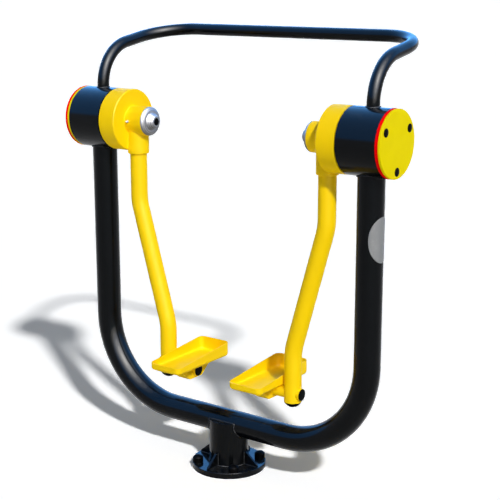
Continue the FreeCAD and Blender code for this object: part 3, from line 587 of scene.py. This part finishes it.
# Footplates: trays pressed from 4 mm steel on folded brackets, each held by one M16 bolt through the arm.
# The bracket is welded under the tray all round, and its stub of pipe to its outer wall.
# Painted cups sit round both ends of the bolt, closed by thin black caps.
bracket_low, bracket_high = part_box("right_footplate_bracket")
bracket_width = 0.0505
bracket_outer_x = bracket_low.x + bracket_width
bolt_z = (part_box("right_bolt_caps")[0].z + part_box("right_bolt_caps")[1].z) / 2
stub_radius = 0.0212
bracket_corners = [(bracket_low.x, bracket_low.y), (bracket_outer_x, bracket_low.y),
                   (bracket_outer_x, bracket_high.y), (bracket_low.x, bracket_high.y),
                   (bracket_low.x, bracket_low.y)]
for side, sign in (("left", -1), ("right", 1)):
    tray_seam = [(sign * x, y, bracket_high.z) for x, y in bracket_corners]
    stub_seam = [(sign * bracket_outer_x, y, z) for y, z in arc((0, bolt_z), stub_radius, 0, 360)]
    weld(side + "_footplate_welds", side + "_swing_arm", yellow_powder,
         radius=0.0028, seams=[tray_seam, stub_seam])
    finish_nodes(yellow_powder, side + "_footplate", side + "_footplate_bracket", side + "_bolt_cap_bases")
    finish_nodes(zinc, side + "_footplate_bolt", side + "_footplate_nut")
    finish_nodes(black_plastic, side + "_bolt_caps")


# Studio: a pale floor that keeps the shadow, one soft key lamp, and a surround that the camera sees white.
# Gloss also mirrors a warm glow round the lamp and a blue sky overhead, which light nothing else.
# The camera stands where the photograph was taken from.
def seen_rays(finish):
    """1 for camera, glossy and transmission rays."""
    camera = finish.add("ShaderNodeLightPath", {}, {}, "Is Camera Ray")
    glossy = finish.add("ShaderNodeLightPath", {}, {}, "Is Glossy Ray")
    through = finish.add("ShaderNodeLightPath", {}, {}, "Is Transmission Ray")
    return camera.combine("MAXIMUM", camera.combine("MAXIMUM", camera, glossy), through)


floor_half = 150
floor_corners = [(-floor_half, -floor_half, 0), (floor_half, -floor_half, 0),
                 (floor_half, floor_half, 0), (-floor_half, floor_half, 0)]
floor_grey = (0.8, 0.8, 0.8, 1)
floor_shown = (1.27, 1.28, 1.31, 1)
floor_finish = Finish(bpy.data.materials.new("studio_floor"))
floor_colour = floor_finish.blend(seen_rays(floor_finish), floor_grey, floor_shown)
floor_surface = floor_finish.add("ShaderNodeBsdfDiffuse", {}, {"Color": floor_colour})
floor_finish.show(floor_surface, "ShaderNodeOutputMaterial")
floor_mesh = bpy.data.meshes.new("studio_floor")
floor_mesh.from_pydata(floor_corners, [], [(0, 1, 2, 3)])
floor_mesh.materials.append(floor_finish.owner)
floor = bpy.data.objects.new("studio_floor", floor_mesh)
bpy.context.scene.collection.objects.link(floor)

white = (1, 1, 1, 1)
mirrored_sky = (0.6, 2.1, 5.0, 1)
soft_light = (0.88, 0.94, 1.0, 1)
surround = Finish(bpy.data.worlds.new("studio_surround"))
direction = surround.add("ShaderNodeTexCoord", {}, {}, "Generated")
height = surround.add("ShaderNodeSeparateXYZ", {}, {0: direction}, "Z")
mirrored = surround.add("ShaderNodeLightPath", {}, {}, "Is Glossy Ray")
backdrop = surround.blend(surround.fade(height, 0.08, 0.24) * mirrored, white, mirrored_sky)
shown = surround.add("ShaderNodeBackground", {}, {"Color": backdrop, "Strength": 1.0})
soft = surround.add("ShaderNodeBackground", {}, {"Color": soft_light, "Strength": 0.22})
both = surround.add("ShaderNodeMixShader", {}, {0: seen_rays(surround), 1: soft, 2: shown})
surround.show(both, "ShaderNodeOutputWorld")
bpy.context.scene.world = surround.owner

lamp_height = 40
lamp_azimuth = -34
key_lamp = bpy.data.lights.new("key_lamp", "SUN")
key_lamp.energy = 2.95
key_lamp.angle = math.radians(3.4)
key_lamp.color = (1.0, 0.985, 0.955)
key = bpy.data.objects.new("key_lamp", key_lamp)
key.rotation_euler = (math.radians(90 - lamp_height), 0, math.radians(lamp_azimuth + 90))
key.visible_glossy = False
bpy.context.scene.collection.objects.link(key)

glow_end = 66
glow_step = 9
glow_peak = 96
glow_falloff = 2.6


def glow_at(turn):
    """Brightness of the glow, turn degrees from the middle of the key lamp."""
    return glow_peak * (1 - min(turn, glow_end) / glow_end) ** glow_falloff


for reach in range(glow_step, glow_end, glow_step):
    brightness = glow_at(reach - glow_step / 2) - glow_at(reach + glow_step / 2)
    glow_lamp = bpy.data.lights.new("glow_lamp", "SUN")
    glow_lamp.energy = brightness * math.pi * math.sin(math.radians(reach)) ** 2
    glow_lamp.angle = math.radians(2 * reach)
    glow_lamp.color = (1.0, 0.93, 0.85)
    glow = bpy.data.objects.new("glow_lamp", glow_lamp)
    glow.rotation_euler = key.rotation_euler
    glow.visible_diffuse = False
    bpy.context.scene.collection.objects.link(glow)

camera_dip = 13.1508
camera_turn = 35.7895
lens = bpy.data.cameras.new("camera")
lens.sensor_width = 36
lens.lens = 85.48
camera = bpy.data.objects.new("camera", lens)
camera.location = (2.395706, -3.193788, 1.725073)
camera.rotation_euler = (math.radians(90 - camera_dip), 0, math.radians(camera_turn))
bpy.context.scene.collection.objects.link(camera)
bpy.context.scene.camera = camera
bpy.context.scene.view_settings.view_transform = "Standard"
